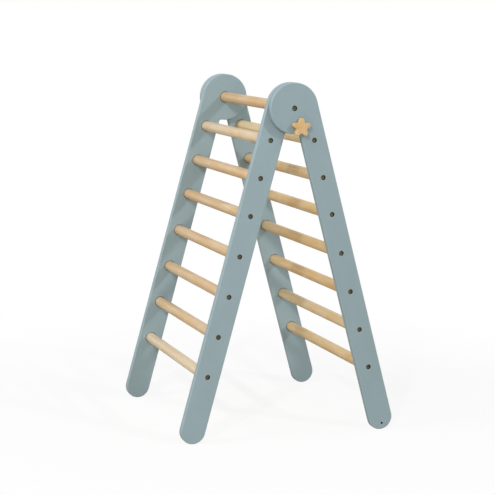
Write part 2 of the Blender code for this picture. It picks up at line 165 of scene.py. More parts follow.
def board_loop(board):
    """Keyhole outline: round foot, straight rail, concave fillet and round head.

    The rail's far edge leaves the head at its tangent, and the fillet's
    centre is one fillet radius outside both the head and the near edge.
    """
    rail_middle = board.head_radius - board.rail_width / 2
    fillet_x = board.head_radius - board.rail_width - board.head_fillet
    fillet_z = -math.sqrt((board.head_radius + board.head_fillet) ** 2 - fillet_x ** 2)
    to_head = math.atan2(-fillet_z, -fillet_x)
    foot = arc_run((rail_middle, -board.foot_distance), board.rail_width / 2, 0, -math.pi, steps=56)
    fillet = arc_run((fillet_x, fillet_z), board.head_fillet, 0, to_head, steps=12, hollow=True)
    head = arc_run((0, 0), board.head_radius, to_head + math.pi, 0, steps=144)
    head = (head[0][1:], head[1][1:])
    up = straight_run(foot[0][-1], fillet[0][0], steps=36)
    down = straight_run(head[0][-1], foot[0][0], steps=40)
    return close_loop([foot, up, fillet, head, down])


def slot_loop(radius, half_width, first, last):
    """Outline of an arc slot: two arcs about the pivot and two round ends."""
    ends = [(radius * math.cos(angle), radius * math.sin(angle)) for angle in (first, last)]
    far = arc_run((0, 0), radius + half_width, first, last, steps=36, hollow=True)
    stop = arc_run(ends[1], half_width, last, last + math.pi, steps=18, hollow=True)
    near = arc_run((0, 0), radius - half_width, last, first, steps=36)
    start = arc_run(ends[0], half_width, first + math.pi, first + math.tau, steps=18, hollow=True)
    stop = (stop[0][1:-1], stop[1][1:-1])
    start = (start[0][1:-1], start[1][1:-1])
    return close_loop([far, stop, near, start])


def star_corner(corner, before, after, radius, steps, hollow=False):
    """Arc that touches both edges of a corner at its own radius."""
    to_before = math.atan2(*(before - corner)[::-1])
    to_after = math.atan2(*(after - corner)[::-1])
    opening = (to_after - to_before + math.pi) % math.tau - math.pi
    half = to_before + opening / 2
    towards = np.array([math.cos(half), math.sin(half)])
    centre = corner + radius / abs(math.sin(opening / 2)) * towards
    sweep = math.copysign(math.pi / 2 - abs(opening) / 2, opening)
    return arc_run(centre, radius, half + math.pi + sweep, half + math.pi - sweep, steps, hollow)


def star_loop(star):
    """Five-pointed star with an arc at each tip and valley, one tip along +Z.

    One tip, one valley and the two edges after them are worked out, and
    turned by fifths of a turn.
    """
    fifth = math.tau / 5
    up = np.array([0.0, 1.0])
    tip = up * star.tip_radius
    valley = turn_plane(up * star.valley_radius, fifth / 2)
    valley_before = turn_plane(valley, -fifth)
    tip_after = turn_plane(tip, fifth)
    tip_arc = star_corner(tip, valley_before, valley, star.tip_round, steps=12)
    valley_arc = star_corner(valley, tip, tip_after, star.valley_round, steps=9, hollow=True)
    next_tip = turn_plane(tip_arc[0][0], fifth)
    side = straight_run(tip_arc[0][-1], valley_arc[0][0], steps=6, left=False)
    back = straight_run(valley_arc[0][-1], next_tip, steps=6, left=False)
    point = close_loop([tip_arc, side, valley_arc, back])
    return tuple(np.concatenate([turn_plane(pairs, fifth * turn) for turn in range(5)])
                 for pairs in point)


# Surfaces: a profile is a list of rows, each with its reach, its depth along
# Y, its mark and its number of sides. A row may end early, and what it leaves
# out is 0. A mark between bare and worn is a lightly rubbed edge. A part is
# (points, faces, mark of each point).

BARE = 0.0
# A mark of 1 is a worn edge; on paint it is paler, partly thin paint and partly a painted highlight
WORN_AND_HIGHLIT = 1.0
# A mark of -1 is painted shade: walls of screw recesses, sockets and holes are painted dark where
# shade falls in them
PAINTED_SHADE = -1.0
LIGHTLY_RUBBED = 0.5

ROUND = 0
SQUARE = 4
HEXAGON = 6

ROUND_COLUMNS = 72
HOLE_COLUMNS = 48

# Steps round the edge of a board and round the mouth of a hole, and widths of
# the flat ring with which a rounded edge starts on its face
EDGE_STEPS = 7
MOUTH_STEPS = 3
OUTLINE_RIM = 0.001
HOLE_RIM = 0.0006
RUNG_RIM = 0.0008

# How far below the mouth of a hole its painted shade starts
SHADE_START = 0.0002

# Points nearer than this become one, and an edge sharper than this stays sharp
MERGE_DISTANCE = 2e-6
SHARP_ANGLE = math.radians(32)


def profile_columns(rows):
    """Reach, depth, mark and sides of all rows of a profile."""
    return np.array([(*row, BARE, ROUND)[:4] for row in rows], float).T


def grid_faces(rows, columns, closed=False):
    """Quads of a grid whose columns meet, and whose last row meets the first if closed."""
    index = np.arange(rows * columns).reshape(rows, columns)
    if closed:
        index = np.vstack([index, index[:1]])
    this_row, next_row = index[:-1], index[1:]
    quads = [this_row, np.roll(this_row, -1, axis=1), np.roll(next_row, -1, axis=1), next_row]
    return np.stack(quads, axis=-1).reshape(-1, 4)


def grid_part(grid, mark, closed=False):
    """Part out of a grid of points with one mark for each row."""
    rows, columns = grid.shape[:2]
    return grid.reshape(-1, 3), grid_faces(rows, columns, closed), np.repeat(mark, columns)


def carry(loop, rows):
    """Grid and marks of a profile carried along a loop.

    Point (row, column) is the loop's point moved against its normal by the
    row's reach, at the row's depth along Y.
    """
    points, normals = loop
    inset, depth, mark, _ = profile_columns(rows)
    flat = points[None] - inset[:, None, None] * normals[None]
    return np.insert(flat, 1, np.broadcast_to(depth[:, None], flat.shape[:2]), axis=2), mark


def turn_profile(rows, columns=ROUND_COLUMNS):
    """Grid and marks of a profile turned about the Y axis.

    Point (row, column) is (r cos a, y, r sin a). In a round row r is the
    reach. In a row with n sides the reach is to the flats, and r is
    reach / cos(d), where d is the angle from the middle of that side.
    """
    reach, depth, mark, sides = profile_columns(rows)
    angle = np.arange(columns) * math.tau / columns
    flats = np.maximum(sides, 1)[:, None]
    from_middle = np.mod(angle[None], math.tau / flats) - math.pi / flats
    from_middle[sides == ROUND] = 0
    radius = reach[:, None] / np.cos(from_middle)
    y = np.broadcast_to(depth[:, None], radius.shape)
    return np.stack([radius * np.cos(angle), y, radius * np.sin(angle)], axis=-1), mark


def rounding(radius, steps):
    """Quarter circle as rows of (inset, depth), from the flat face to the side."""
    angle = np.linspace(0, math.pi / 2, steps + 1)
    return np.stack([radius * (1 - np.sin(angle)), radius * (1 - np.cos(angle))], axis=1)


def within(places, ring):
    """Which places lie inside a ring.

    From such a place a line along +X crosses the ring an odd number of times.
    """
    start, end = ring, np.roll(ring, -1, axis=0)
    x, z = places[:, :1], places[:, 1:]
    spans = (start[:, 1] > z) != (end[:, 1] > z)
    rise = np.where(spans, end[:, 1] - start[:, 1], 1.0)
    crossing = start[:, 0] + (z - start[:, 1]) / rise * (end[:, 0] - start[:, 0])
    return (spans & (crossing > x)).sum(axis=1) % 2 == 1


def fill_part(rings, depth):
    """Flat face between an outline and the holes in it.

    Triangles join all the points, and those whose middle is outside the
    outline or inside a hole are left out.
    """
    start = 0
    edges = []
    for ring in rings:
        index = np.arange(start, start + len(ring))
        edges.append(np.stack([index, np.roll(index, -1)], axis=1))
        start += len(ring)
    filled = delaunay_2d_cdt(np.vstack(rings).tolist(), np.vstack(edges).tolist(), [], 0, 1e-8)
    flat, triangles = np.array(filled[0]), np.array(filled[2])
    middles = flat[triangles].mean(axis=1)
    kept = within(middles, rings[0])
    for ring in rings[1:]:
        kept &= ~within(middles, ring)
    return np.insert(flat, 1, depth, axis=1), triangles[kept], np.full(len(flat), BARE)


def about_y(angle):
    """Matrix that takes rows (x, y, z) to (x cos t + z sin t, y, z cos t - x sin t)."""
    cos, sin = math.cos(angle), math.sin(angle)
    return np.array([[cos, 0, -sin], [0, 1, 0], [sin, 0, cos]])


def place_piece(name, parts, turn, centre, material, node, body,
                spin=np.eye(3), shift=0.0, tone_and_light=0.0):
    """Join parts into one mesh, turn it about Y and move it to its place.

    The pattern's place of a point is its own place times spin, plus shift.
    """
    counts = np.cumsum([0] + [len(part[0]) for part in parts])
    points = np.vstack([part[0] for part in parts])
    faces = []
    for part, start in zip(parts, counts):
        faces += (part[1] + start).tolist()
    marks = np.concatenate([part[2] for part in parts])
    world = points @ about_y(turn) + centre

    mesh = bpy.data.meshes.new(name)
    mesh.from_pydata(world.tolist(), [], faces)
    for label, kind, key, values in (
            ("pattern_place", "FLOAT_VECTOR", "vector", points @ spin + shift),
            ("edge_mark", "FLOAT", "value", marks),
            ("piece_tone", "FLOAT", "value", np.full(len(points), tone_and_light))):
        attribute = mesh.attributes.new(label, kind, "POINT")
        attribute.data.foreach_set(key, values.astype(np.float32).ravel())
    bm = bmesh.new()
    bm.from_mesh(mesh)
    bmesh.ops.remove_doubles(bm, verts=bm.verts, dist=MERGE_DISTANCE)
    bmesh.ops.recalc_face_normals(bm, faces=bm.faces)
    bm.to_mesh(mesh)
    bm.free()
    mesh.shade_smooth()
    mesh.set_sharp_from_angle(angle=SHARP_ANGLE)
    mesh.materials.append(material)
    piece = bpy.data.objects.new(name, mesh)
    bpy.context.scene.collection.objects.link(piece)
    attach(piece, body)
    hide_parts(node)


# Node trees

WHITE = (1.0, 1.0, 1.0, 1.0)
ACROSS = (1.0, 0.0, 1.0)


def feed(tree, node, sources):
    """Give sockets, by name or number, a plain value or the output of another node."""
    for socket, source in sources.items():
        if isinstance(source, bpy.types.NodeSocket):
            tree.links.new(source, node.inputs[socket])
        else:
            node.inputs[socket].default_value = source


def add_node(tree, kind, sources, **values):
    """Outputs of a new node with its own values set and its sockets fed."""
    node = tree.nodes.new(kind)
    for key, value in values.items():
        setattr(node, key, value)
    feed(tree, node, sources)
    return node.outputs


def arithmetic(tree, operation, *numbers):
    """One step of arithmetic on numbers."""
    return add_node(tree, "ShaderNodeMath", dict(enumerate(numbers)), operation=operation)[0]


def stretch(tree, place, scale, shift=(0.0, 0.0, 0.0)):
    """A place scaled along its three axes and moved."""
    return add_node(tree, "ShaderNodeVectorMath", {0: place, 1: scale, 2: shift},
                    operation="MULTIPLY_ADD")[0]


def divide(tree, place, size):
    """A place divided by a size, so that clouds there are about that size across."""
    return add_node(tree, "ShaderNodeVectorMath",
                    {0: place, "Scale": arithmetic(tree, "DIVIDE", 1.0, size)},
                    operation="SCALE")[0]


def distance(tree, place):
    """Distance of a place from the origin."""
    return add_node(tree, "ShaderNodeVectorMath", {0: place}, operation="LENGTH")["Value"]


def clouds(tree, place, detail=2.0, roughness=0.5):
    """Soft noise from 0 to 1 whose clouds are about one unit of the place across."""
    return add_node(tree, "ShaderNodeTexNoise", {"Vector": place, "Scale": 1.0, "Detail": detail,
                                                 "Roughness": roughness})


def remap(tree, value, start, end, new_start=0.0, new_end=1.0, smooth=False):
    """Carry a value from one range to another, held at both ends."""
    return add_node(tree, "ShaderNodeMapRange",
                    dict(enumerate((value, start, end, new_start, new_end))),
                    interpolation_type="SMOOTHSTEP" if smooth else "LINEAR")[0]


def blend_colours(tree, share, first, second):
    """Two colours blended by a share from 0 to 1."""
    return add_node(tree, "ShaderNodeMix", {0: share, 6: first, 7: second}, data_type="RGBA")[2]


def new_group(name, inputs, outputs):
    """Empty shader node group with named sockets, each of the kind given for it."""
    group = bpy.data.node_groups.new(name, "ShaderNodeTree")
    for way, sockets in (("INPUT", inputs), ("OUTPUT", outputs)):
        for label, kind in sockets.items():
            group.interface.new_socket(label, in_out=way, socket_type=f"NodeSocket{kind}")
    return group, group.nodes.new("NodeGroupInput").outputs, group.nodes.new("NodeGroupOutput")


def use_group(tree, name, build, sources):
    """Outputs of a node group, which is built the first time that it is used."""
    group = bpy.data.node_groups.get(name) or build(name)
    return add_node(tree, "ShaderNodeGroup", sources, node_tree=group)


def late_wood(tree, phase):
    """Rises slowly to 1 over each ring and falls back to 0 at its end."""
    ramp = tree.nodes.new("ShaderNodeValToRGB")
    ramp.color_ramp.interpolation = "EASE"
    early, late = ramp.color_ramp.elements
    early.position, late.position = 0.25, 0.88
    ramp.color_ramp.elements.new(1.0).color = (0.0, 0.0, 0.0, 1.0)
    feed(tree, ramp, {0: phase})
    return ramp.outputs["Color"]


def build_wood_grain(name):
    """Wood round a log whose axis is Y: rings, fibres, flecks and broad streaks.

    The distance from the log's axis, bent by slow noise, gives the rings.
    Noise drawn out along Y gives the fibres and streaks, short dark flecks
    come from finer noise above a threshold, and slow noise turns the wood
    between the rings from pale to warm. Scales are in clouds a metre.
    """
    group, given, out = new_group(
        name, {"Place": "Vector", "Pale Wood": "Color", "Warm Wood": "Color", "Deep Wood": "Color",
               "Tone": "Float", "Ring Spacing": "Float", "Ring Strength": "Float",
               "Fibre Strength": "Float", "Streak Strength": "Float"},
        {"Color": "Color", "Roughness": "Float", "Height": "Float"})
    place, tone_and_light = given["Place"], given["Tone"]

    def drawn_clouds(scale, shift=(0.0, 0.0, 0.0), **kind):
        """Soft noise drawn out along the log."""
        return clouds(group, stretch(group, place, scale, shift), **kind)

    bend = stretch(group, drawn_clouds((14.0, 1.6, 14.0))["Color"], (0.016, 0.0, 0.016),
                   stretch(group, place, ACROSS))
    ring = arithmetic(group, "DIVIDE", distance(group, bend), given["Ring Spacing"])
    late = late_wood(group, arithmetic(group, "FRACT", ring))
    fibres = drawn_clouds((1100.0, 26.0, 1100.0), detail=3.0, roughness=0.6)["Fac"]
    streaks = drawn_clouds((150.0, 3.2, 150.0), (3.1, 7.7, 1.3))["Fac"]
    flecks = drawn_clouds((620.0, 150.0, 620.0), (9.2, 0.4, 5.5), detail=1.0)["Fac"]
    patches = drawn_clouds((34.0, 11.0, 34.0), (1.7, 4.4, 6.1))["Fac"]
    fleck = remap(group, flecks, 0.66, 0.76, smooth=True)

    rings, threads, bands = [
        arithmetic(group, "MULTIPLY", mask, given[f"{kind} Strength"])
        for kind, mask in (("Ring", late), ("Fibre", remap(group, fibres, 0.3, 0.75)),
                           ("Streak", remap(group, streaks, 0.3, 0.72)))]
    figure = arithmetic(group, "ADD", arithmetic(group, "ADD", rings, threads), bands)
    figure = arithmetic(group, "MULTIPLY_ADD", fleck, 0.14, figure)
    depth = add_node(group, "ShaderNodeClamp",
                     {0: arithmetic(group, "MULTIPLY_ADD", tone_and_light, 0.5, figure)})[0]
    warmth = arithmetic(group, "MULTIPLY_ADD", tone_and_light, 1.6, remap(group, patches, 0.36, 0.64))
    ground = blend_colours(group, remap(group, warmth, 0.0, 1.0), given["Pale Wood"],
                           given["Warm Wood"])
    rough = arithmetic(group, "MULTIPLY_ADD", fibres, 0.12, 0.40)
    feed(group, out, {
        "Color": blend_colours(group, depth, ground, given["Deep Wood"]),
        "Roughness": arithmetic(group, "MULTIPLY_ADD", fleck, 0.08, rough),
        "Height": arithmetic(group, "MULTIPLY_ADD", late, 0.35,
                             arithmetic(group, "MULTIPLY", fibres, 0.8))})
    return group


def build_fine_skin(name):
    """Skin of a sprayed, moulded or plated surface.

    Even small bumps, faint marks drawn out along Z, and a slow change of
    tone from 0 to 1 over a few centimetres.
    """
    group, given, out = new_group(
        name, {"Place": "Vector", "Bump Size": "Float", "Mark Size": "Float"},
        {"Tone": "Float", "Sheen": "Float", "Height": "Float"})
    place = given["Place"]
    drawn = stretch(group, place, (1.0, 1.0, 0.03))
    bumps = clouds(group, divide(group, place, given["Bump Size"]), detail=1.0)["Fac"]
    marks = clouds(group, divide(group, drawn, given["Mark Size"]))["Fac"]
    slow = clouds(group, stretch(group, place, (14.0, 14.0, 6.0), (2.0, 5.0, 8.0)),
                  detail=3.0)["Fac"]
    feed(group, out, {
        "Tone": slow,
        "Sheen": arithmetic(group, "MULTIPLY_ADD", marks, 0.6,
                            arithmetic(group, "MULTIPLY", slow, 0.4)),
        "Height": arithmetic(group, "MULTIPLY_ADD", marks, 0.5,
                             arithmetic(group, "MULTIPLY", bumps, 0.5))})
    return group


def build_metal_wear(name):
    """Tarnish in blotches, fine turning marks round Y and a rubbed edge."""
    group, given, out = new_group(
        name, {"Place": "Vector", "Edge": "Float", "Metal": "Color", "Tarnish": "Color",
               "Rubbed": "Color"},
        {"Color": "Color", "Roughness": "Float", "Height": "Float"})
    place = given["Place"]
    blotches = clouds(group, stretch(group, place, (420.0, 420.0, 420.0)), detail=3.0,
                      roughness=0.6)["Fac"]
    tarnish = remap(group, blotches, 0.42, 0.68, smooth=True)
    reach = distance(group, stretch(group, place, ACROSS))
    lines = add_node(group, "ShaderNodeTexNoise",
                     {"W": arithmetic(group, "MULTIPLY", reach, 4200.0), "Scale": 1.0,
                      "Detail": 1.0}, noise_dimensions="1D")["Fac"]
    dull = blend_colours(group, arithmetic(group, "MULTIPLY", tarnish, 0.75), given["Metal"],
                         given["Tarnish"])
    rough = arithmetic(group, "MULTIPLY_ADD", tarnish, 0.18, 0.30)
    feed(group, out, {
        "Color": blend_colours(group, arithmetic(group, "MULTIPLY", given["Edge"], 0.7), dull,
                               given["Rubbed"]),
        "Roughness": arithmetic(group, "MULTIPLY_ADD", lines, 0.08, rough),
        "Height": lines})
    return group


def read_attribute(tree, name):
    """Attribute of the piece's own points."""
    return add_node(tree, "ShaderNodeAttribute", {}, attribute_name=name)


def new_material(name):
    """Material, its tree, its Principled shader and the pattern's place."""
    material = bpy.data.materials.new(name)
    material.use_nodes = True
    tree = material.node_tree
    place = read_attribute(tree, "pattern_place")["Vector"]
    return material, tree, tree.nodes["Principled BSDF"], place


def bumped(tree, height, rise, strength):
    """Normal bumped by a height from 0 to 1 times a rise in metres."""
    return add_node(tree, "ShaderNodeBump", {"Height": height, "Distance": rise,
                                             "Strength": strength})["Normal"]


def colour4(colour, scale=1.0):
    """A colour of three numbers as four, made lighter or darker by a scale."""
    return (*(min(1.0, part * scale) for part in colour), 1.0)


def satin_paint(board, recess_shade):
    """Satin blue-grey paint, paler over the edges as thin paint and partly a painted highlight,
    with painted shade on hole walls.
    """
    material, tree, shader, place = new_material("satin blue-grey paint")
    mark = read_attribute(tree, "edge_mark")["Fac"]
    # Paler edges: thin paint there, and partly a painted highlight
    edge = arithmetic(tree, "MAXIMUM", mark, 0.0)
    # Painted shade: walls with a negative mark take the dark recess colour
    recess = arithmetic(tree, "MAXIMUM", arithmetic(tree, "MULTIPLY", mark, -1.0), 0.0)
    skin = use_group(tree, "fine skin", build_fine_skin,
                     {"Place": place, "Bump Size": 0.0016, "Mark Size": 0.0022})
    tone_and_light = arithmetic(tree, "ADD", remap(tree, skin["Tone"], 0.3, 0.7, 0.34, 0.66),
                      read_attribute(tree, "piece_tone")["Fac"])
    coat = blend_colours(tree, tone_and_light, colour4(board.paint, 0.92), colour4(board.paint, 1.08))
    coat = blend_colours(tree, arithmetic(tree, "MULTIPLY", edge, 0.35), coat,
                         colour4(board.paint, 1.18))
    feed(tree, shader, {
        "Base Color": blend_colours(tree, recess, coat, colour4(recess_shade)),
        "Roughness": remap(tree, skin["Sheen"], 0.3, 0.7, board.paint_roughness - 0.04,
                           board.paint_roughness + 0.04),
        "Specular IOR Level": 0.5,
        "Normal": bumped(tree, skin["Height"], rise=0.00006, strength=0.5)})
    return material


def turned_wood(name, pale, warm, deep, ring_spacing, streak_strength):
    """Clear-oiled wood with its rings, fibres and streaks."""
    material, tree, shader, place = new_material(name)
    grain = use_group(tree, "wood grain", build_wood_grain,
                      {"Place": place, "Tone": read_attribute(tree, "piece_tone")["Fac"],
                       "Pale Wood": colour4(pale), "Warm Wood": colour4(warm),
                       "Deep Wood": colour4(deep), "Ring Spacing": ring_spacing,
                       "Ring Strength": 0.34,
                       "Fibre Strength": 0.2, "Streak Strength": streak_strength})
    feed(tree, shader, {"Base Color": grain["Color"], "Roughness": grain["Roughness"],
                        "Specular IOR Level": 0.4,
                        "Normal": bumped(tree, grain["Height"], rise=0.00005, strength=0.6)})
    return material


def worn_metal(name, metal, tarnish, rubbed):
    """Metal with tarnish, turning marks and rubbed edges."""
    material, tree, shader, place = new_material(name)
    wear = use_group(tree, "metal wear", build_metal_wear,
                     {"Place": place, "Edge": read_attribute(tree, "edge_mark")["Fac"],
                      "Metal": metal, "Tarnish": tarnish, "Rubbed": rubbed})
    feed(tree, shader, {"Base Color": wear["Color"], "Roughness": wear["Roughness"],
                        "Metallic": 1.0,
                        "Normal": bumped(tree, wear["Height"], rise=0.00002, strength=0.5)})
    return material


def moulded_nylon(colour):
    """Milky nylon with a finely eroded skin."""
    material, tree, shader, place = new_material("moulded nylon")
    skin = use_group(tree, "fine skin", build_fine_skin,
                     {"Place": place, "Bump Size": 0.0004, "Mark Size": 0.0008})
    feed(tree, shader, {
        "Base Color": blend_colours(tree, skin["Tone"], colour4(colour, 0.94),
                                    colour4(colour, 1.04)),
        "Roughness": remap(tree, skin["Sheen"], 0.3, 0.7, 0.42, 0.56),
        "Normal": bumped(tree, skin["Height"], rise=0.00004, strength=0.6)})
    return material


# Settings

def length(name, description, default):
    """A length that the user may change."""
    return FloatProperty(name=name, description=description, default=default, min=0.0,
                         unit="LENGTH", precision=4)


def degrees(name, description, default):
    """An angle that the user may change."""
    return FloatProperty(name=name, description=description, default=math.radians(default),
                         subtype="ANGLE")


def tint(name, description, default):
    """A colour that the user may change."""
    return FloatVectorProperty(name=name, description=description, default=default, size=3,
                               min=0.0, max=1.0, subtype="COLOR")


def share(name, description, default):
    """A strength from 0 to 1."""
    return FloatProperty(name=name, description=description, default=default, min=0.0, max=1.0,
                         subtype="FACTOR")


def watts(name, description, default):
    """The power of a lamp."""
    return FloatProperty(name=name, description=description, default=default, min=0.0,
                         unit="POWER")


class BoardSettings(bpy.types.PropertyGroup):
    """Sizes and paint of the four boards."""

    thickness: length("Thickness", "Thickness of a board", THICKNESS)
    rail_width: length("Rail Width", "Width of a rail", 0.0746)
    head_radius: length("Head Radius", "Radius of the round head", 0.0732)
    head_fillet: length("Head Fillet", "Hollow between head and rail", 0.008)
    edge_round: length("Edge Round", "Rounding along the outline", 0.0025)
    socket_depth: length("Socket Depth", "How far a rung goes into a board", 0.006)
    # The gap's wall carries painted shade in the recess colour, making the dark line round a rung's
    # end
    socket_play: length("Socket Play", "Dark gap round a rung in its socket", 0.0014)
    hole_lip: length("Hole Lip", "Rounding at the mouth of a hole", 0.0004)
    foot_distance: length("Foot Distance", "From the pivot down to the foot's middle", 0.974)
    foot_hole_radius: length("Foot Hole Radius", "Radius of the hole in one foot", 0.0035)
    foot_hole_wall: length("Foot Hole Wall", "Depth of that hole's wall", 0.0085)
    foot_hole_tip: length("Foot Hole Tip", "Depth of that hole's drilled tip", 0.0099)
    foot_hole_rise: length("Foot Hole Rise", "From the end of the foot up to that hole", 0.018)
    paint: tint("Paint", "Colour of the paint", (0.292, 0.393, 0.431))
    paint_roughness: share("Paint Roughness", "0 is gloss and 1 is flat", 0.42)


class RungSettings(bpy.types.PropertyGroup):
    """Sizes and wood of the rungs."""

    radius: length("Radius", "Radius of a rung", 0.016)
    end_round: length("End Round", "Rounding of a rung's ends", 0.0008)
    pale_wood: tint("Pale Wood", "Yellow wood between the rings", (0.79, 0.665, 0.487))
    warm_wood: tint("Warm Wood", "Pinker wood between the rings", (0.75, 0.535, 0.312))
    deep_wood: tint("Deep Wood", "Wood in the rings and streaks", (0.525, 0.32, 0.124))
    # The outer ladder's woods are yellower as their own hue, and paler as painted light for light
    # that its rungs lack
    outer_lit_pale_wood: tint("Outer Pale Wood", "Pale wood, outer ladder", (0.84, 0.702, 0.455))
    outer_lit_warm_wood: tint("Outer Warm Wood", "Warm wood, outer ladder", (0.80, 0.566, 0.29))
    outer_lit_deep_wood: tint("Outer Deep Wood", "Deep wood, outer ladder", (0.556, 0.34, 0.116))
    ring_spacing: length("Ring Spacing", "From one ring to the next", 0.0028)


class ScrewSettings(bpy.types.PropertyGroup):
    """Sizes and metal of the rung screws and pivot bolts."""

    sink: length("Sink", "Depth of the head under the board's face", 0.004)
    head_play: length("Head Play", "Gap round a head in its recess", 0.0014)
    screw_head_radius: length("Screw Head Radius", "Radius of a rung screw's head", 0.006)
    screw_head_height: length("Screw Head Height", "Height of a rung screw's head", 0.0035)
    screw_radius: length("Screw Radius", "Radius of a rung screw", 0.003)
    screw_key: length("Screw Key", "Width of the hexagonal socket", 0.004)
    screw_key_depth: length("Screw Key Depth", "Depth of the hexagonal socket", 0.002)
    screw_grip: length("Screw Grip", "How far a screw goes into a rung", 0.030)
    pivot_head_radius: length("Pivot Head Radius", "Radius of a pivot bolt's head", 0.0065)
    pivot_head_height: length("Pivot Head Height", "Height of a pivot bolt's head", 0.0045)
    pivot_radius: length("Pivot Radius", "Radius of a pivot bolt", 0.004)
    pivot_key: length("Pivot Key", "Width of the pivot bolt's socket", 0.005)
    pivot_key_depth: length("Pivot Key Depth", "Depth of the pivot bolt's socket", 0.003)
    pivot_grip: length("Pivot Grip", "How far a pivot bolt goes into the top rung", 0.045)
    bronze: tint("Bronze", "Colour of the heads", (0.14, 0.115, 0.065))
    tarnish: tint("Tarnish", "Colour of the tarnish", (0.06, 0.055, 0.035))
    # Recess is painted shade: the dark colour of recess, socket and hole walls where shade falls,
    # not a stain
    recess: tint("Recess", "Colour of the stained wall round a head", (0.05, 0.05, 0.035))


class StarSettings(bpy.types.PropertyGroup):
    """Sizes and wood of the star knob."""

    tip_radius: length("Tip Radius", "To the corner of a tip before it is rounded", 0.0483)
    valley_radius: length("Valley Radius", "To the corner between two tips", 0.0157)
    tip_round: length("Tip Round", "Radius of a tip", 0.007)
    valley_round: length("Valley Round", "Radius between two tips", 0.004)
    edge_round: length("Edge Round", "Rounding along the outline", 0.002)
    crown: length("Crown", "Rise of the front from its edge to its middle", 0.0005)
    tilt: degrees("Tilt", "Turn of the top tip towards the outer ladder", 1.0)
    pale_wood: tint("Pale Wood", "Yellow wood between the rings", (0.755, 0.588, 0.338))
    warm_wood: tint("Warm Wood", "Pinker wood between the rings", (0.715, 0.446, 0.172))
    deep_wood: tint("Deep Wood", "Wood in the rings and streaks", (0.52, 0.30, 0.125))
    ring_spacing: length("Ring Spacing", "From one ring to the next, before the scale", 0.008)
    grain_scale: FloatProperty(name="Grain Scale", description="How much finer the grain is",
                               default=2.2, min=0.0)
    log_place: FloatVectorProperty(name="Log Place", description="Where in the log the star is cut",
                                   default=(0.022, 0.3, 0.08), subtype="TRANSLATION")


class ClampSettings(bpy.types.PropertyGroup):
    """Sizes and finishes of the clamp behind the star, and of the pivot washers."""

    bolt_radius: length("Bolt Radius", "Radius of the lock bolt", 0.004)
    neck_width: length("Neck Width", "Width of the square neck", 0.0085)
    neck_length: length("Neck Length", "Length of the square neck", 0.006)
    cap_radius: length("Cap Radius", "Radius of the domed head", 0.010)
    cap_rim: length("Cap Rim", "Height of the domed head's rim", 0.001)
    insert_radius: length("Insert Radius", "Radius of the sleeve in the star", 0.006)
    insert_length: length("Insert Length", "Length of the sleeve in the star", 0.0125)
    flange_radius: length("Flange Radius", "Radius of the sleeve's flange", 0.0085)
    flange_height: length("Flange Height", "Height of the sleeve's flange", 0.0015)
    play: length("Play", "Gap between fitted pieces", 0.0003)
    slot_play: length("Slot Play", "Gap beside the neck in its slot", 0.0005)
    zinc: tint("Zinc", "Colour of the plated steel", (0.60, 0.61, 0.62))
    brass: tint("Brass", "Colour of the sleeve", (0.72, 0.53, 0.22))
    nylon: tint("Nylon", "Colour of the washers", (0.72, 0.71, 0.67))


class StageSettings(bpy.types.PropertyGroup):
    """Camera, lamps and floor."""

    azimuth: degrees("Azimuth", "Camera's turn from -Y towards -X", 20.363)
    elevation: degrees("Elevation", "Camera's angle above the level", 8.844)
    roll: degrees("Roll", "Camera's turn about its own line of sight", 0.535)
    distance: length("Distance", "From the camera to its target", 4.6442)
    target: FloatVectorProperty(name="Target", description="Point that the camera looks at",
                                default=(-0.0216, 0.0091, 0.5204), subtype="TRANSLATION")
    lens: FloatProperty(name="Lens", description="Focal length in millimetres", default=109.63)
    right_power: watts("Right Lamp", "Power of the small lamp in front on the right", 350.0)
    left_power: watts("Left Lamp", "Power of the small lamp in front on the left", 388.0)
    front_power: watts("Front Lamp", "Power of the broad lamp beside the camera", 102.0)
    side_power: watts("Side Lamp", "Power of the high lamp at the left side", 219.0)
    ambient: FloatProperty(name="Ambient", description="Strength of the light from all round",
                           default=0.30, min=0.0)
    floor_size: length("Floor Size", "Side of the square floor", 60.0)


class FrameSettings(bpy.types.PropertyGroup):
    """All settings of the climbing frame."""

    boards: PointerProperty(type=BoardSettings, name="Boards", description="The four boards")
    rungs: PointerProperty(type=RungSettings, name="Rungs", description="The rungs")
    screws: PointerProperty(type=ScrewSettings, name="Screws", description="Screws and bolts")
    star: PointerProperty(type=StarSettings, name="Star", description="The star knob")
    clamp: PointerProperty(type=ClampSettings, name="Clamp", description="The clamp's metal")
    stage: PointerProperty(type=StageSettings, name="Stage", description="Camera and lamps")


# Pieces

def own_place(node, ladder):
    """Place (x, z) of a round piece's axis in its ladder's own frame."""
    x, _, z = middle(node) - PIVOT
    return turn_plane(np.array([x, z]), ladder["turn"])


def edge_rows(radius, rim, steps):
    """Rows (inset, depth) from a flat face over a rounded edge to a wall at inset 0."""
    return [(radius + rim, 0.0)] + rounding(radius, steps).tolist()


def mouth(radius, board):
    """Rows from a board's face over the mouth of a hole to its wall; the mouth's paint is paler,
    worn and partly a painted highlight.
    """
    rim, *curve = edge_rows(board.hole_lip, HOLE_RIM, MOUTH_STEPS)
    return [(radius + rim[0], 0.0)] + [(radius + inset, depth, WORN_AND_HIGHLIT) for inset, depth in curve]


def turned_over(rows, thick):
    """Rows as they are on the other face of a board."""
    return [(reach, thick - depth, *mark) for reach, depth, *mark in rows[::-1]]


def shifted(surface, place):
    """A surface moved across the board by (x, z)."""
    grid, marks = surface
    grid[..., ::2] += place
    return grid, marks


def stepped_hole(place, outer_radius, steps, inner_radius, board):
    """Grid and marks of a hole through a board, with steps of (radius, depth) whose walls carry
    painted shade.
    """
    rows = mouth(outer_radius, board)
    rows += [(*step, PAINTED_SHADE) for step in steps]
    rows += turned_over(mouth(inner_radius, board), board.thickness)
    return shifted(turn_profile(rows, HOLE_COLUMNS), place)


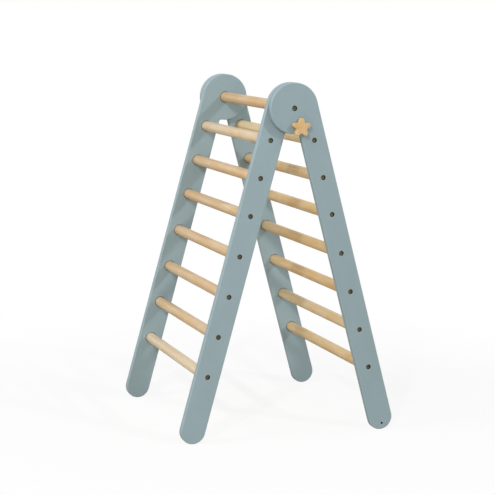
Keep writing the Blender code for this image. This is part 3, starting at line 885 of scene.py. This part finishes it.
def board_holes(settings, ladder):
    """Holes for the rungs with their screws, and for the pivot bolt or the top rung."""
    board, screws, play = settings.boards, settings.screws, settings.clamp.play
    start = board.hole_lip + SHADE_START
    web = board.thickness - board.socket_depth
    socket = settings.rungs.radius + board.socket_play
    screw_bore, pivot_bore = screws.screw_radius + play, screws.pivot_radius + play
    socket_steps = [(socket, web), (socket, board.thickness - start)]

    def recess_steps(head_radius, head_height, bore):
        """Steps of a head's recess, down to the bore in its floor."""
        recess = head_radius + screws.head_play
        seat = screws.sink + head_height + play
        return [(recess, start), (recess, seat), (bore, seat)]

    steps = recess_steps(screws.screw_head_radius, screws.screw_head_height, screw_bore)
    steps += [(screw_bore, web)] + socket_steps
    holes = [stepped_hole(own_place(f"{ladder['name']}_rung_{number}", ladder), steps[0][0],
                          steps, socket, board) for number in range(1, RUNG_COUNT + 1)]
    if ladder is OUTER:
        steps = recess_steps(screws.pivot_head_radius, screws.pivot_head_height, pivot_bore)
        holes.append(stepped_hole((0.0, 0.0), steps[0][0], steps, pivot_bore, board))
    else:
        steps = [(pivot_bore, web)] + socket_steps
        holes.append(stepped_hole((0.0, 0.0), pivot_bore, steps, socket, board))
    return holes


def foot_hole(board):
    """Grid and marks of the blind hole near the end of a foot."""
    radius = board.foot_hole_radius
    steps = [(radius, board.hole_lip + SHADE_START), (radius, board.foot_hole_wall),
             (0.0, board.foot_hole_tip)]
    rows = mouth(radius, board) + [(*step, PAINTED_SHADE) for step in steps]
    place = (board.head_radius - board.rail_width / 2,
             board.foot_hole_rise - board.foot_distance - board.rail_width / 2)
    return shifted(turn_profile(rows, HOLE_COLUMNS), place)


def lock_slot(settings):
    """The neck's arc slot, from the bolt's place when folded to its place when open.

    Each round end starts an angle further on, so that the neck's corners keep
    their play in it.
    """
    clamp = settings.clamp
    x, _, z = KNOB - PIVOT
    radius = math.hypot(x, z)
    folded = math.atan2(z, x) - LEAN
    neck = clamp.neck_width / 2
    half_width = neck + clamp.slot_play
    spare = (neck - math.sqrt((half_width - clamp.play) ** 2 - neck ** 2)) / radius
    return slot_loop(radius, half_width, folded - spare, folded + 2 * LEAN + spare)


def board_parts(settings, ladder, side):
    """Outline, holes and the two faces of a board, in its ladder's frame.

    They are made at depths from the outer face. side is 1 on the near side
    and -1 on the far side, and Y is side * (depth - distance of that face).
    """
    board, clamp = settings.boards, settings.clamp
    thick = board.thickness
    points, normals = board_loop(board)
    mirror = np.array([ladder["side"], 1.0])
    # Paler paint over the rounded outline: thin paint, and partly a painted highlight
    wear = np.sin(np.linspace(0, math.pi, EDGE_STEPS + 1))
    rim, *curve = edge_rows(board.edge_round, OUTLINE_RIM, EDGE_STEPS)
    edge = [rim] + [(*row, mark) for row, mark in zip(curve, wear)]
    through = [carry((points * mirror, normals * mirror), edge + turned_over(edge, thick))]
    through += board_holes(settings, ladder)
    blind = []
    if ladder is OUTER and side > 0:
        bore = clamp.bolt_radius + clamp.play
        through.append(stepped_hole(own_place("knob_washer", ladder), bore, [], bore, board))
        blind.append(foot_hole(board))
    if ladder is INNER and side > 0:
        edge = mouth(0.0, board)
        through.append(carry(lock_slot(settings), edge + turned_over(edge, thick)))
    parts = [grid_part(*surface) for surface in through + blind]
    parts.append(fill_part([grid[0][:, ::2] for grid, _ in through + blind], 0.0))
    parts.append(fill_part([grid[-1][:, ::2] for grid, _ in through], thick))
    for own, _, _ in parts:
        own[:, 1] = side * (own[:, 1] - ladder["face"])
    return parts


def rung_parts(radius, half, end_round, bore, bore_depth):
    """A rung along Y with a bored hole in each end."""
    ease = 0.0003
    end = [(0.0, half - bore_depth), (bore, half - bore_depth), (bore, half - ease),
           (bore + ease, half), (radius - end_round - RUNG_RIM, half)]
    end += [(radius - inset, half - depth) for inset, depth in rounding(end_round, steps=4)]
    return [grid_part(*turn_profile([(reach, -y) for reach, y in end] + end[::-1]))]


def headed_parts(head_radius, head_height, radius, key, key_depth, full):
    """A flat-headed screw along +Y with its head's top on y = 0."""
    ease, key_ease, key_spread, point = 0.0004, 0.0003, 0.00035, 0.003
    corner = key / 2 / math.cos(math.pi / HEXAGON)
    rows = [(0.0, key_depth), (key / 2, key_depth, BARE, HEXAGON),
            (key / 2, key_ease, 0.4, HEXAGON), (corner + key_spread, 0.0, WORN_AND_HIGHLIT),
            (head_radius - ease - HOLE_RIM, 0.0)]
    rows += [(head_radius - inset, depth, WORN_AND_HIGHLIT) for inset, depth in rounding(ease, steps=4)]
    rows += [(head_radius, head_height), (radius, head_height), (radius, full - point),
             (0.0, full)]
    return [grid_part(*turn_profile(rows))]


def closed_ring(corners, mark):
    """A ring about Y whose section goes through the corners (radius, y) given."""
    grid, marks = turn_profile([(*corner, mark) for corner in corners])
    return [grid_part(grid, marks, closed=True)]


def washer_parts(hole, radius, start, end):
    """A flat ring along Y with its four corners eased."""
    ease = 0.0002
    return closed_ring([(hole + ease, start), (radius - ease, start), (radius, start + ease),
                        (radius, end - ease), (radius - ease, end), (hole + ease, end),
                        (hole, end - ease), (hole, start + ease)], LIGHTLY_RUBBED)


def sleeve_parts(clamp, start):
    """Flanged sleeve in the back of the star, along -Y."""
    hole = clamp.bolt_radius + clamp.play
    flange, end = start - clamp.flange_height, start - clamp.insert_length
    return closed_ring([(hole, start), (clamp.flange_radius, start), (clamp.flange_radius, flange),
                        (clamp.insert_radius, flange), (clamp.insert_radius, end), (hole, end)],
                       0.3)


def lock_bolt_parts(clamp, tip, neck_start, seat, cap_top):
    """Coach bolt along Y: shank, square neck, then a domed head.

    The dome is a quarter ellipse of the cap's radius and the height above its rim.
    """
    ease, neck, rim = 0.0006, clamp.neck_width / 2, seat + clamp.cap_rim
    rows = [(0.0, tip), (clamp.bolt_radius - ease, tip), (clamp.bolt_radius, tip + ease, 0.6),
            (clamp.bolt_radius, neck_start), (neck, neck_start, 0.4, SQUARE),
            (neck, seat, 0.4, SQUARE), (clamp.cap_radius, seat, 0.6),
            (clamp.cap_radius, rim, 0.8)]
    rows += [(clamp.cap_radius * math.cos(a), rim + (cap_top - rim) * math.sin(a))
             for a in np.linspace(0, math.pi / 2, 13)[1:]]
    return [grid_part(*turn_profile(rows))]


def star_parts(star, clamp):
    """Star with eased edges and a crowned front, bored in its back for the sleeve.

    Rows run from the floor of the bore out over the back, round the edge
    and in over the front. On the front each ring is the outline shrunk
    towards the middle, and the crown falls with the square of that share.
    """
    loop = star_loop(star)
    angle = np.arctan2(loop[0][:, 1], loop[0][:, 0])
    circle = np.stack([np.cos(angle), np.sin(angle)], axis=1)
    back, front = -KNOB_BACK, -KNOB_FRONT
    flange, sleeve = clamp.flange_radius + clamp.play, clamp.insert_radius + clamp.play
    floor = back - clamp.insert_length - 2 * clamp.play
    seat = back - clamp.flange_height - 2 * clamp.play
    bore = [np.insert(circle * radius, 1, y, axis=1) for radius, y in
            ((0.0, floor), (sleeve, floor), (sleeve, seat), (flange, seat), (flange, back))]
    edge = edge_rows(star.edge_round, HOLE_RIM, steps=5)
    skin = [(inset, back - depth) for inset, depth in edge]
    skin += [(inset, front + star.crown + depth) for inset, depth in edge[:0:-1]]
    skin = list(carry(loop, skin)[0])
    face = [skin[-1] * (part, 0.0, part) + (0.0, front + star.crown * part ** 2, 0.0)
            for part in np.linspace(0.94, 0.0, 9)]
    grid = np.array(bore + [(bore[-1] + skin[0]) / 2] + skin + face)
    return [grid_part(grid, np.full(len(grid), BARE))]


class MakeBoards(bpy.types.Operator):
    """Make the four painted boards with their screw holes, sockets and slot"""

    bl_idname = "climbing_frame.make_boards"
    bl_label = "Make Boards"

    def execute(self, context):
        settings = context.scene.climbing_frame
        paint = satin_paint(settings.boards, settings.screws.recess)
        for ladder in (OUTER, INNER):
            for end, side in ENDS:
                node = f"{ladder['name']}_board_{end}"
                own_marks = (0.0, 0.0, 3.0 * side + ladder["side"])
                place_piece(f"painted_{node}", board_parts(settings, ladder, side),
                            ladder["turn"], PIVOT, paint, node, ladder["body"],
                            shift=own_marks, tone_and_light=BOARD_TONE_AND_LIGHT[node])
        return {"FINISHED"}


class MakeRungs(bpy.types.Operator):
    """Make the fifteen rungs, each out of another part of the log"""

    bl_idname = "climbing_frame.make_rungs"
    bl_label = "Make Rungs"

    def execute(self, context):
        settings = context.scene.climbing_frame
        rungs, screws, play = settings.rungs, settings.screws, settings.clamp.play
        # The outer ladder's rungs take the paler, lit copies of the wood: painted light
        woods = {f"{name}_ladder": turned_wood(f"oiled {name} rung wood", *colours,
                                               rungs.ring_spacing, streak_strength=0.3)
                 for name, *colours in (
                     ("outer", rungs.outer_lit_pale_wood, rungs.outer_lit_warm_wood,
                      rungs.outer_lit_deep_wood),
                     ("inner", rungs.pale_wood, rungs.warm_wood, rungs.deep_wood))}
        names = [(f"{ladder['name']}_rung_{number}", ladder["body"], screws.screw_radius,
                  screws.screw_grip) for ladder, number in NUMBERED]
        names.append(("top_rung", "inner_ladder", screws.pivot_radius, screws.pivot_grip))
        random = np.random.default_rng(RUNG_SEED)
        for (node, body, bore, grip), tone_and_light in zip(names, RUNG_TONE_AND_LIGHT):
            start, end = y_ends(node)
            spin = about_y(random.uniform(0, math.tau))
            shift = np.array([random.uniform(*span) for span in LOG_SPANS])
            parts = rung_parts(rungs.radius, (end - start) / 2, rungs.end_round, bore + play,
                               grip + play)
            place_piece(f"turned_{node}", parts, 0.0, middle(node), woods[body], node, body,
                        spin, shift, tone_and_light)
        return {"FINISHED"}


class MakeScrews(bpy.types.Operator):
    """Make the rung screws and the two pivot bolts"""

    bl_idname = "climbing_frame.make_screws"
    bl_label = "Make Screws"

    def execute(self, context):
        screws = context.scene.climbing_frame.screws
        bronze = worn_metal("dark bronze", colour4(screws.bronze), colour4(screws.tarnish),
                            colour4(screws.bronze, 1.5))
        screw = (screws.screw_head_radius, screws.screw_head_height, screws.screw_radius,
                 screws.screw_key, screws.screw_key_depth)
        bolt = (screws.pivot_head_radius, screws.pivot_head_height, screws.pivot_radius,
                screws.pivot_key, screws.pivot_key_depth)
        names = [(f"{ladder['name']}_screw_{number}", ladder["body"], screw)
                 for ladder, number in NUMBERED]
        names.append(("pivot_bolt", "inner_ladder", bolt))
        random = np.random.default_rng(SCREW_SEED)
        for name, body, sizes in names:
            for end, side in ENDS:
                node = f"{name}_{end}"
                lowest, highest = y_ends(node)
                centre = middle(node)
                centre[1] = lowest if side > 0 else highest
                points, faces, marks = headed_parts(*sizes, highest - lowest)[0]
                turn = random.uniform(0, math.tau)
                shift = random.uniform(-1, 1, 3) * np.array([0.0, 1.0, 0.0])
                place_piece(f"bronze_{node}", [(points * np.array([1, side, 1]), faces, marks)],
                            turn, centre, bronze, node, body, shift=shift)
        return {"FINISHED"}


class MakeStar(bpy.types.Operator):
    """Make the wooden star knob"""

    bl_idname = "climbing_frame.make_star"
    bl_label = "Make Star Knob"

    def execute(self, context):
        settings = context.scene.climbing_frame
        star = settings.star
        wood = turned_wood("oiled star wood", star.pale_wood, star.warm_wood, star.deep_wood,
                           star.ring_spacing, streak_strength=0.35)
        centre = np.array([KNOB[0], PIVOT[1] - OUTER_FACE, KNOB[2]])
        upright = np.array([[1, 0, 0], [0, 0, 1], [0, 1, 0]]) * star.grain_scale
        place_piece("carved_star_knob", star_parts(star, settings.clamp), star.tilt, centre, wood,
                    "star_knob", "knob", upright, np.array(star.log_place))
        return {"FINISHED"}


class MakeClamp(bpy.types.Operator):
    """Make the lock bolt, sleeve, washers and spacer of the clamp and the pivot washers"""

    bl_idname = "climbing_frame.make_clamp"
    bl_label = "Make Clamp"

    def execute(self, context):
        settings = context.scene.climbing_frame
        clamp = settings.clamp
        zinc = worn_metal("zinc-plated steel", colour4(clamp.zinc), colour4(clamp.zinc, 0.7),
                          colour4(clamp.zinc, 1.2))
        brass = worn_metal("turned brass", colour4(clamp.brass), colour4(clamp.brass, 0.55),
                           colour4(clamp.brass, 1.15))
        nylon = moulded_nylon(clamp.nylon)
        axis = np.array([KNOB[0], 0.0, KNOB[2]])

        tip, cap_top = y_ends("lock_bolt")
        seat = float(PIVOT[1] - INNER_FACE + THICKNESS + clamp.play)
        # A side of the square neck, whose middle is an eighth of a turn from X,
        # is turned to face straight away from the pivot
        first_side = math.tau / 8
        outward = math.atan2(KNOB[2] - PIVOT[2], KNOB[0] - PIVOT[0])
        place_piece("plated_lock_bolt",
                    lock_bolt_parts(clamp, tip, seat - clamp.neck_length, seat, cap_top),
                    first_side - outward, axis, zinc, "lock_bolt", "outer_ladder")
        place_piece("turned_knob_insert", sleeve_parts(clamp, y_ends("knob_insert")[1]), 0.0,
                    axis, brass, "knob_insert", "knob")
        lock_hole = clamp.bolt_radius + clamp.play
        pivot_hole = settings.screws.pivot_radius + clamp.play
        for finish, node, body, hole, material, slot in (
                ("plated", "knob_washer", "washer", lock_hole, zinc, "zinc_steel"),
                ("nylon", "lock_spacer", "outer_ladder", lock_hole, nylon, "nylon_washers"),
                ("nylon", "pivot_washer_near", "outer_ladder", pivot_hole, nylon,
                 "nylon_washers"),
                ("nylon", "pivot_washer_far", "outer_ladder", pivot_hole, nylon,
                 "nylon_washers")):
            radius = float(high(node)[0] - low(node)[0]) / 2
            place_piece(f"{finish}_{node}", washer_parts(hole, radius, *y_ends(node)), 0.0,
                        middle(node) * ACROSS, material, node, body)
        return {"FINISHED"}


# Stage

# Each lamp: its name, place and size, and the setting that holds its power
LAMPS = (("right lamp", (6.1, -7.8, 6.7), 0.5, "right_power"),
         ("left lamp", (-6.1, -7.8, 6.7), 0.5, "left_power"),
         ("front lamp", (-2.6, -8.0, 2.2), 3.0, "front_power"),
         ("side lamp", (-6.0, -0.5, 5.0), 2.5, "side_power"))
LAMP_TARGET = Vector((0.0, 0.0, 0.6))
SENSOR_WIDTH = 36.0
CLIP_END = 200.0

# The camera sees this share of white under the frame, rising to all of it
# between these distances from its middle
WHITE_SHARE = 0.86
FADE_START, FADE_END = 0.5, 1.8


def mix_shaders(tree, share, first, second, kind):
    """Two shaders blended by a share from 0 to 1 and led to an output node."""
    mix = add_node(tree, "ShaderNodeMixShader", {0: share, 1: first, 2: second})[0]
    add_node(tree, kind, {"Surface": mix})


def white_floor():
    """Pale, slightly warm floor that the camera sees as white with a faint shadow."""
    material = bpy.data.materials.new("white floor")
    material.use_nodes = True
    tree = material.node_tree
    tree.nodes.clear()
    place = add_node(tree, "ShaderNodeTexCoord", {})["Object"]
    fade = remap(tree, distance(tree, place), FADE_START, FADE_END, WHITE_SHARE, 1.0,
                 smooth=True)
    grain = clouds(tree, stretch(tree, place, (3.0, 3.0, 3.0)), detail=3.0)["Fac"]
    from_camera = add_node(tree, "ShaderNodeLightPath", {})["Is Camera Ray"]
    warm = blend_colours(tree, grain, (0.60, 0.55, 0.47, 1.0), (0.64, 0.59, 0.51, 1.0))
    seen = blend_colours(tree, from_camera, warm, (0.96, 0.96, 0.96, 1.0))
    matt = add_node(tree, "ShaderNodeBsdfDiffuse", {"Color": seen})[0]
    glow = add_node(tree, "ShaderNodeEmission", {"Color": WHITE, "Strength": 1.0})[0]
    mix_shaders(tree, arithmetic(tree, "MULTIPLY", from_camera, fade), matt, glow,
                "ShaderNodeOutputMaterial")
    return material


def white_world(ambient):
    """World that is white to look at and lights the frame softly from all round.

    Rays from the camera and mirrored and passed rays see it as white.
    """
    world = bpy.data.worlds.new("white studio")
    world.use_nodes = True
    tree = world.node_tree
    tree.nodes.clear()
    path = add_node(tree, "ShaderNodeLightPath", {})
    seen = arithmetic(tree, "MAXIMUM", path["Is Camera Ray"], path["Is Glossy Ray"])
    seen = arithmetic(tree, "MAXIMUM", seen, path["Is Transmission Ray"])
    light = add_node(tree, "ShaderNodeBackground", {"Color": WHITE, "Strength": ambient})[0]
    white = add_node(tree, "ShaderNodeBackground", {"Color": WHITE, "Strength": 1.0})[0]
    mix_shaders(tree, seen, light, white, "ShaderNodeOutputWorld")
    return world


def soft_lamp(name, place, size, power):
    """Square soft lamp aimed at the frame."""
    lamp = bpy.data.lights.new(name, "AREA")
    lamp.shape = "SQUARE"
    lamp.size = size
    lamp.energy = power
    item = bpy.data.objects.new(name, lamp)
    item.location = place
    item.rotation_euler = (LAMP_TARGET - Vector(place)).to_track_quat("-Z", "Y").to_euler()
    bpy.context.scene.collection.objects.link(item)


def camera_axes(stage):
    """Camera's right, up and back directions, as a matrix.

    Back points from the target to the camera at its azimuth and elevation,
    right is level, and both right and up are turned by the roll.
    """
    level = math.cos(stage.elevation)
    back = Vector((-math.sin(stage.azimuth) * level, -math.cos(stage.azimuth) * level,
                   math.sin(stage.elevation)))
    right = Vector((math.cos(stage.azimuth), -math.sin(stage.azimuth), 0.0))
    up = back.cross(right)
    cos, sin = math.cos(stage.roll), math.sin(stage.roll)
    return Matrix((right * cos + up * sin, up * cos - right * sin, back)).transposed()


class SetStage(bpy.types.Operator):
    """Set the floor, the white surroundings, the lamps and the camera"""

    bl_idname = "climbing_frame.set_stage"
    bl_label = "Set Stage"

    def execute(self, context):
        stage = context.scene.climbing_frame.stage
        corners = stage.floor_size / 2 * np.array([[-1, -1, 0], [1, -1, 0], [1, 1, 0], [-1, 1, 0]])
        mesh = bpy.data.meshes.new("studio_floor")
        mesh.from_pydata(corners.tolist(), [], [(0, 1, 2, 3)])
        mesh.materials.append(white_floor())
        floor = bpy.data.objects.new("studio_floor", mesh)
        context.scene.collection.objects.link(floor)
        context.scene.world = white_world(stage.ambient)
        for name, place, size, power in LAMPS:
            soft_lamp(name, place, size, getattr(stage, power))

        lens = bpy.data.cameras.new("camera")
        lens.lens = stage.lens
        lens.sensor_width = SENSOR_WIDTH
        lens.clip_end = CLIP_END
        camera = bpy.data.objects.new("camera", lens)
        axes = camera_axes(stage)
        place = Vector(stage.target) + axes.col[2] * stage.distance
        camera.matrix_world = Matrix.Translation(place) @ axes.to_4x4()
        context.scene.collection.objects.link(camera)
        context.scene.camera = camera
        context.scene.view_settings.view_transform = "Standard"
        return {"FINISHED"}


class FramePanel(bpy.types.Panel):
    """Buttons and settings of the climbing frame"""

    bl_idname = "VIEW3D_PT_climbing_frame"
    bl_label = "Climbing Frame"
    bl_space_type = "VIEW_3D"
    bl_region_type = "UI"
    bl_category = "Climbing Frame"

    def draw(self, context):
        settings = context.scene.climbing_frame
        for group, operator in (("boards", MakeBoards), ("rungs", MakeRungs),
                                ("screws", MakeScrews), ("star", MakeStar),
                                ("clamp", MakeClamp), ("stage", SetStage)):
            box = self.layout.box()
            box.operator(operator.bl_idname)
            values = getattr(settings, group)
            for name in values.bl_rna.properties.keys():
                if name not in {"rna_type", "name"}:
                    box.prop(values, name)


CLASSES = (BoardSettings, RungSettings, ScrewSettings, StarSettings, ClampSettings, StageSettings,
           FrameSettings, MakeBoards, MakeRungs, MakeScrews, MakeStar, MakeClamp, SetStage,
           FramePanel)


def register():
    """Register the classes and the settings."""
    for item in CLASSES:
        bpy.utils.register_class(item)
    bpy.types.Scene.climbing_frame = PointerProperty(type=FrameSettings)


def unregister():
    """Take the settings and the classes out again."""
    del bpy.types.Scene.climbing_frame
    for item in reversed(CLASSES):
        bpy.utils.unregister_class(item)


def main():
    """Make every piece and the stage."""
    register()
    bpy.ops.climbing_frame.make_boards()
    bpy.ops.climbing_frame.make_rungs()
    bpy.ops.climbing_frame.make_screws()
    bpy.ops.climbing_frame.make_star()
    bpy.ops.climbing_frame.make_clamp()
    bpy.ops.climbing_frame.set_stage()


if __name__ == "__main__":
    main()
